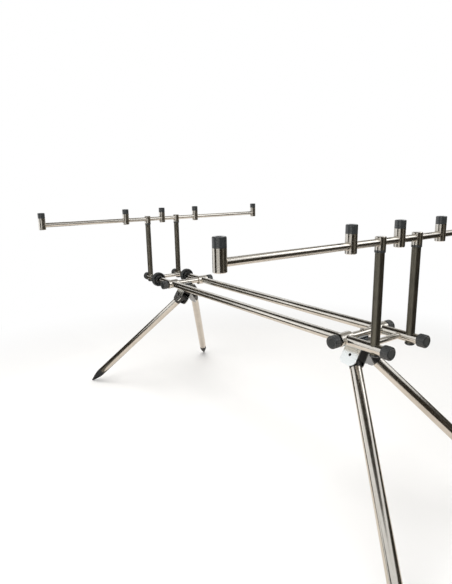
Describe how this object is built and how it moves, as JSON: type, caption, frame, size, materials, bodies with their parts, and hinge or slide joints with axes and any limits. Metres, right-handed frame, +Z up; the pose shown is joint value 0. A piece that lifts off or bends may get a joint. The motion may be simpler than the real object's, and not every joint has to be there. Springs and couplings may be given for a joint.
{
  "type": "rod pod",
  "caption": "Fishing rod pod with telescopic main tubes on splayed folding legs, and at each end a height-adjustable goalpost whose buzz bar carries threaded posts.",
  "frame": {"origin": "on the ground under the middle of the four feet, midway between the two leg carriages", "axes": "+X along the main tubes towards the front, +Y along the buzz bars towards the left, +Z up"},
  "size_m": [1.2016, 0.7434, 0.5658],
  "materials": {
    "stainless_steel": "polished stainless tube with a warm tone",
    "dark_steel": "dark gunmetal, glossy",
    "plate_steel": "bright, finely brushed",
    "black_plastic": "black, satin, finely knurled on knobs and wheels",
    "foot_plastic": "black, matt"
  },
  "bodies": {
    "frame": {"left_main_tube": "stainless_steel", "right_main_tube": "stainless_steel", "front_cross_tube": "stainless_steel", "front_end_blocks": "stainless_steel"},
    "rear_extension": {"left_inner_tube": "stainless_steel", "right_inner_tube": "stainless_steel", "rear_cross_tube": "stainless_steel", "rear_end_blocks": "stainless_steel"},
    "left_lock_wheel": {"left_lock_wheel": "black_plastic"},
    "right_lock_wheel": {"right_lock_wheel": "black_plastic"},
    "front_left_end_knob": {"front_left_end_knob": "black_plastic", "front_left_end_stud": "stainless_steel"},
    "front_right_end_knob": {"front_right_end_knob": "black_plastic", "front_right_end_stud": "stainless_steel"},
    "rear_left_end_knob": {"rear_left_end_knob": "black_plastic", "rear_left_end_stud": "stainless_steel"},
    "rear_right_end_knob": {"rear_right_end_knob": "black_plastic", "rear_right_end_stud": "stainless_steel"},
    "front_carriage": {"front_carriage_tube": "stainless_steel", "front_carriage_sleeves": "stainless_steel", "front_leg_block": "black_plastic", "front_leg_bracket": "plate_steel", "front_bracket_fasteners": "stainless_steel"},
    "rear_carriage": {"rear_carriage_tube": "stainless_steel", "rear_carriage_sleeves": "stainless_steel", "rear_leg_block": "black_plastic", "rear_leg_bracket": "plate_steel", "rear_bracket_fasteners": "stainless_steel"},
    "front_left_carriage_knob": {"front_left_carriage_knob": "black_plastic", "front_left_carriage_stud": "stainless_steel"},
    "front_right_carriage_knob": {"front_right_carriage_knob": "black_plastic", "front_right_carriage_stud": "stainless_steel"},
    "rear_left_carriage_knob": {"rear_left_carriage_knob": "black_plastic", "rear_left_carriage_stud": "stainless_steel"},
    "rear_right_carriage_knob": {"rear_right_carriage_knob": "black_plastic", "rear_right_carriage_stud": "stainless_steel"},
    "front_left_leg": {"front_left_leg_knuckle": "black_plastic", "front_left_leg_tube": "stainless_steel", "front_left_foot": "foot_plastic"},
    "front_right_leg": {"front_right_leg_knuckle": "black_plastic", "front_right_leg_tube": "stainless_steel", "front_right_foot": "foot_plastic"},
    "rear_left_leg": {"rear_left_leg_knuckle": "black_plastic", "rear_left_leg_tube": "stainless_steel", "rear_left_foot": "foot_plastic"},
    "rear_right_leg": {"rear_right_leg_knuckle": "black_plastic", "rear_right_leg_tube": "stainless_steel", "rear_right_foot": "foot_plastic"},
    "front_goalpost": {"front_uprights": "dark_steel", "front_tee_pieces": "stainless_steel", "front_upright_collars": "black_plastic", "front_buzz_bar": "stainless_steel", "front_rod_posts": "stainless_steel", "front_post_caps": "black_plastic"},
    "rear_goalpost": {"rear_uprights": "dark_steel", "rear_tee_pieces": "stainless_steel", "rear_upright_collars": "black_plastic", "rear_buzz_bar": "stainless_steel", "rear_rod_posts": "stainless_steel", "rear_post_caps": "black_plastic"}
  },
  "joints": [
    {"name": "extension_slide", "type": "slide", "parent": "frame", "child": "rear_extension", "axis": [-1, 0, 0], "range_m": [-0.02, 0.25]},
    {"name": "front_carriage_slide", "type": "slide", "parent": "frame", "child": "front_carriage", "axis": [1, 0, 0], "range_m": [-0.25, 0.025]},
    {"name": "rear_carriage_slide", "type": "slide", "parent": "frame", "child": "rear_carriage", "axis": [-1, 0, 0], "range_m": [-0.25, 0.06]},
    {"name": "front_goalpost_slide", "type": "slide", "parent": "frame", "child": "front_goalpost", "axis": [0, 0, 1], "range_m": [-0.055, 0]},
    {"name": "rear_goalpost_slide", "type": "slide", "parent": "rear_extension", "child": "rear_goalpost", "axis": [0, 0, 1], "range_m": [-0.15, 0]},
    {"name": "front_left_leg_fold", "type": "hinge", "parent": "front_carriage", "child": "front_left_leg", "pos_m": [0.3215, 0.0205, 0.3106], "axis": [0, 0.8387, 0.5446], "range_deg": [0, 126]},
    {"name": "front_right_leg_fold", "type": "hinge", "parent": "front_carriage", "child": "front_right_leg", "pos_m": [0.3215, -0.0205, 0.3106], "axis": [0, 0.8387, -0.5446], "range_deg": [0, 126]},
    {"name": "rear_left_leg_fold", "type": "hinge", "parent": "rear_carriage", "child": "rear_left_leg", "pos_m": [-0.3215, 0.0205, 0.3106], "axis": [0, -0.8387, -0.5446], "range_deg": [0, 114]},
    {"name": "rear_right_leg_fold", "type": "hinge", "parent": "rear_carriage", "child": "rear_right_leg", "pos_m": [-0.3215, -0.0205, 0.3106], "axis": [0, -0.8387, 0.5446], "range_deg": [0, 114]},
    {"name": "left_lock_wheel_turn", "type": "hinge", "parent": "frame", "child": "left_lock_wheel", "pos_m": [-0.4115, 0.05, 0.3521], "axis": [-1, 0, 0], "continuous": true},
    {"name": "right_lock_wheel_turn", "type": "hinge", "parent": "frame", "child": "right_lock_wheel", "pos_m": [-0.4115, -0.05, 0.3521], "axis": [-1, 0, 0], "continuous": true},
    {"name": "front_left_end_knob_turn", "type": "hinge", "parent": "frame", "child": "front_left_end_knob", "pos_m": [0.3885, 0.05, 0.3521], "axis": [1, 0, 0], "continuous": true},
    {"name": "front_right_end_knob_turn", "type": "hinge", "parent": "frame", "child": "front_right_end_knob", "pos_m": [0.3885, -0.05, 0.3521], "axis": [1, 0, 0], "continuous": true},
    {"name": "rear_left_end_knob_turn", "type": "hinge", "parent": "rear_extension", "child": "rear_left_end_knob", "pos_m": [-0.4655, 0.05, 0.3521], "axis": [-1, 0, 0], "continuous": true},
    {"name": "rear_right_end_knob_turn", "type": "hinge", "parent": "rear_extension", "child": "rear_right_end_knob", "pos_m": [-0.4655, -0.05, 0.3521], "axis": [-1, 0, 0], "continuous": true},
    {"name": "front_left_carriage_knob_turn", "type": "hinge", "parent": "front_carriage", "child": "front_left_carriage_knob", "pos_m": [0.3215, 0.05, 0.3521], "axis": [0, 1, 0], "continuous": true},
    {"name": "front_right_carriage_knob_turn", "type": "hinge", "parent": "front_carriage", "child": "front_right_carriage_knob", "pos_m": [0.3215, -0.05, 0.3521], "axis": [0, -1, 0], "continuous": true},
    {"name": "rear_left_carriage_knob_turn", "type": "hinge", "parent": "rear_carriage", "child": "rear_left_carriage_knob", "pos_m": [-0.3215, 0.05, 0.3521], "axis": [0, 1, 0], "continuous": true},
    {"name": "rear_right_carriage_knob_turn", "type": "hinge", "parent": "rear_carriage", "child": "rear_right_carriage_knob", "pos_m": [-0.3215, -0.05, 0.3521], "axis": [0, -1, 0], "continuous": true}
  ]
}
